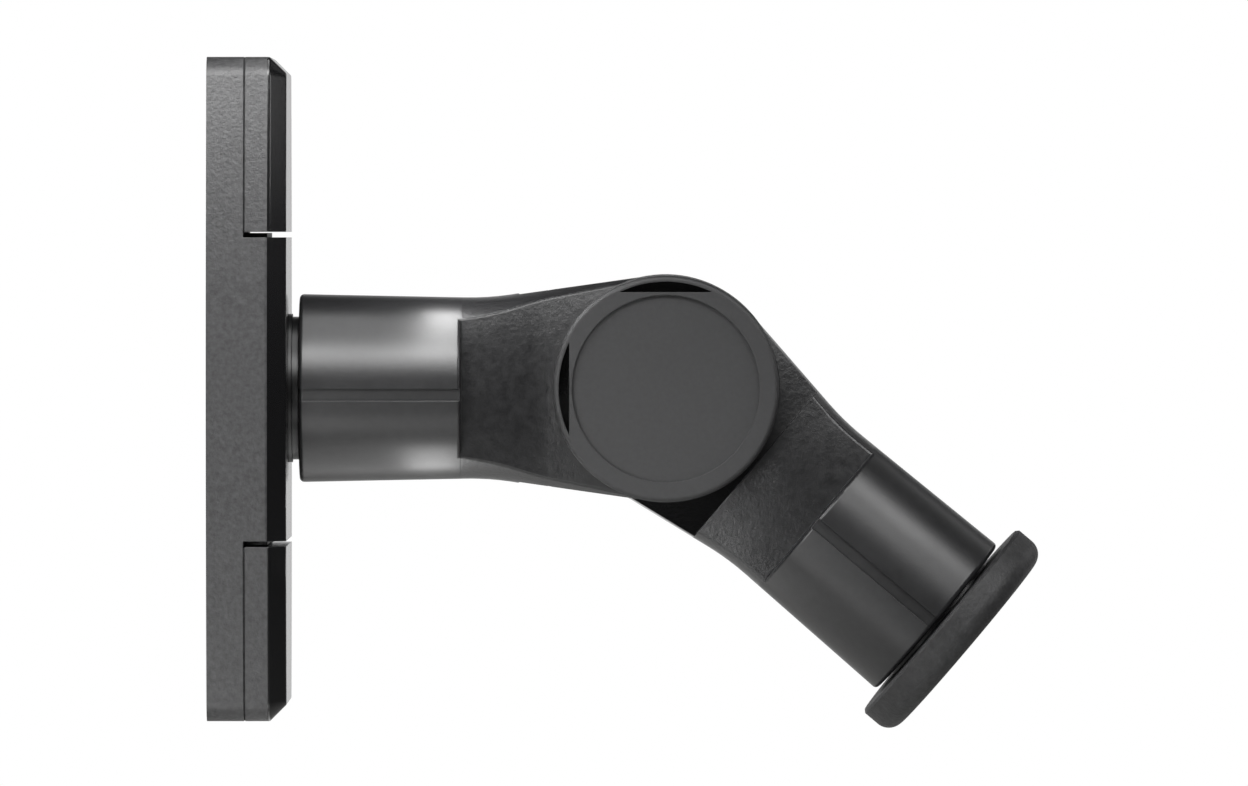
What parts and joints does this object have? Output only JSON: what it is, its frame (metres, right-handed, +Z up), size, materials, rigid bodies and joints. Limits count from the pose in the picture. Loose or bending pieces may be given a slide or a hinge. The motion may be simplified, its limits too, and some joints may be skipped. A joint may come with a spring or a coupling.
{
  "type": "speaker wall bracket",
  "caption": "Wall bracket for a small loudspeaker: bevelled wall plate with clip-on screw covers, tubular swivel arm, friction knuckle and tilting arm with a round speaker plate.",
  "frame": {"origin": "middle of the wall plate's back face, halfway between the two wall screws", "axes": "+X out of the wall along the wall arm, +Y towards the rear pivot cap, +Z up along the line of the wall screws"},
  "size_m": [0.1507, 0.056, 0.1218],
  "materials": {
    "moulded_plastic": "black moulded plastic with a fine texture",
    "cap_plastic": "matte dark grey moulded plastic",
    "bearing_plastic": "smooth black bearing plastic",
    "plated_steel": "bright zinc plate",
    "spring_steel": "dark phosphated spring steel"
  },
  "bodies": {
    "wall_plate": {"wall_plate": "moulded_plastic", "upper_screw_cover": "moulded_plastic", "lower_screw_cover": "moulded_plastic", "swivel_bolt": "plated_steel", "swivel_bush": "bearing_plastic", "swivel_washer": "plated_steel", "swivel_nut": "plated_steel"},
    "wall_arm": {"wall_arm_body": "moulded_plastic", "wall_arm_cover": "moulded_plastic", "front_friction_disc": "bearing_plastic", "rear_friction_disc": "bearing_plastic", "pivot_bolt": "plated_steel", "pivot_spring_washer": "spring_steel", "pivot_nut": "plated_steel", "front_pivot_cap": "cap_plastic", "rear_pivot_cap": "cap_plastic"},
    "speaker_arm": {"speaker_arm_body": "moulded_plastic", "speaker_arm_cover": "moulded_plastic", "plate_bush": "bearing_plastic"},
    "speaker_plate": {"speaker_plate": "moulded_plastic", "plate_washer": "plated_steel", "plate_retaining_ring": "spring_steel"}
  },
  "joints": [
    {"name": "arm_swivel", "type": "hinge", "parent": "wall_plate", "child": "wall_arm", "pos_m": [0.0164, 0, 0], "axis": [1, 0, 0], "continuous": true},
    {"name": "knuckle_tilt", "type": "hinge", "parent": "wall_arm", "child": "speaker_arm", "pos_m": [0.0829, 0, 0], "axis": [0, 1, 0], "range_deg": [-130.2, 49.8]},
    {"name": "plate_swivel", "type": "hinge", "parent": "speaker_arm", "child": "speaker_plate", "pos_m": [0.13789, 0, -0.04647], "axis": [0.7638, 0, -0.6455], "continuous": true}
  ]
}
